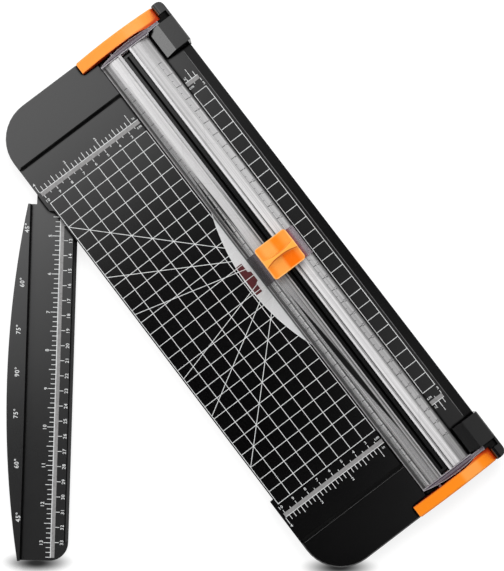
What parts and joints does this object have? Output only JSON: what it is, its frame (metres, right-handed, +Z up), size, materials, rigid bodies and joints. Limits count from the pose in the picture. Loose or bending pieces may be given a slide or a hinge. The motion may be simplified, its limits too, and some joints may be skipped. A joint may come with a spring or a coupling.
{
  "type": "rotary paper trimmer",
  "caption": "Desk paper trimmer: a lifting clear rail with silver strips, a sliding blade carriage under an orange cap, a gridded table and a swing-out side ruler.",
  "frame": {"origin": "middle of the whole outline with the side ruler at its rest angle, on the ground under the feet", "axes": "+X along the cut to the right, +Y towards the hinge side, +Z up; the side ruler swings out on the -Y side"},
  "size_m": [0.377, 0.2998, 0.0313],
  "materials": {
    "base_black": "fine moulded texture",
    "strip_rubber": "matt",
    "inlay_silver": "satin",
    "foot_rubber": "matt",
    "steel": "bright",
    "blade_steel": "ground edge",
    "ruler_grey": "fine moulded texture",
    "clear_plastic": "clear, polished",
    "strip_silver": "brushed along the rail",
    "smoke_plastic": "smoked, polished",
    "orange_plastic": "satin"
  },
  "bodies": {
    "base": {"base_deck": "base_black", "cutting_strip": "strip_rubber", "halfmoon_inlay": "inlay_silver", "foot_front_left": "foot_rubber", "foot_front_right": "foot_rubber", "foot_rear_left": "foot_rubber", "foot_rear_right": "foot_rubber", "hinge_pin_right": "steel", "hinge_pin_left": "steel", "ruler_pivot_washer": "steel", "ruler_pivot_screw": "steel"},
    "ruler": {"side_ruler": "ruler_grey"},
    "rail": {"clear_rail": "clear_plastic", "rail_strip_rear": "strip_silver", "rail_strip_front": "strip_silver", "lift_arm_right": "orange_plastic", "lift_arm_left": "orange_plastic", "arm_screw_right_front": "steel", "arm_screw_right_rear": "steel", "arm_screw_left_front": "steel", "arm_screw_left_rear": "steel"},
    "carriage": {"carriage_saddle": "smoke_plastic", "carriage_keeper": "base_black", "keeper_screw_right": "steel", "keeper_screw_left": "steel", "cap_spring_rear": "steel", "cap_spring_front": "steel"},
    "cap": {"slider_cap": "orange_plastic", "blade_case_rear": "base_black", "blade_case_front": "base_black", "blade_axle": "steel"},
    "blade": {"rotary_blade": "blade_steel", "blade_hub": "strip_rubber"}
  },
  "joints": [
    {"name": "ruler_swing", "type": "hinge", "parent": "base", "child": "ruler", "pos_m": [-0.139, 0.02408, 0.0077], "axis": [0, 0, -1], "range_deg": [-38.6, 51.3]},
    {"name": "rail_lift", "type": "hinge", "parent": "base", "child": "rail", "pos_m": [0, 0.14498, 0.018], "axis": [-1, 0, 0], "range_deg": [0, 65]},
    {"name": "carriage_slide", "type": "slide", "parent": "rail", "child": "carriage", "axis": [1, 0, 0], "range_m": [-0.1585, 0.1675]},
    {"name": "cap_press", "type": "slide", "parent": "carriage", "child": "cap", "axis": [0, 0, -1], "range_m": [0, 0.0019], "stiffness_N_per_m": 600, "springref_m": -0.001, "deforming": ["cap_spring_rear", "cap_spring_front"]},
    {"name": "blade_spin", "type": "hinge", "parent": "cap", "child": "blade", "pos_m": [-0.0045, 0.10978, 0.02], "axis": [0, 1, 0], "continuous": true}
  ]
}
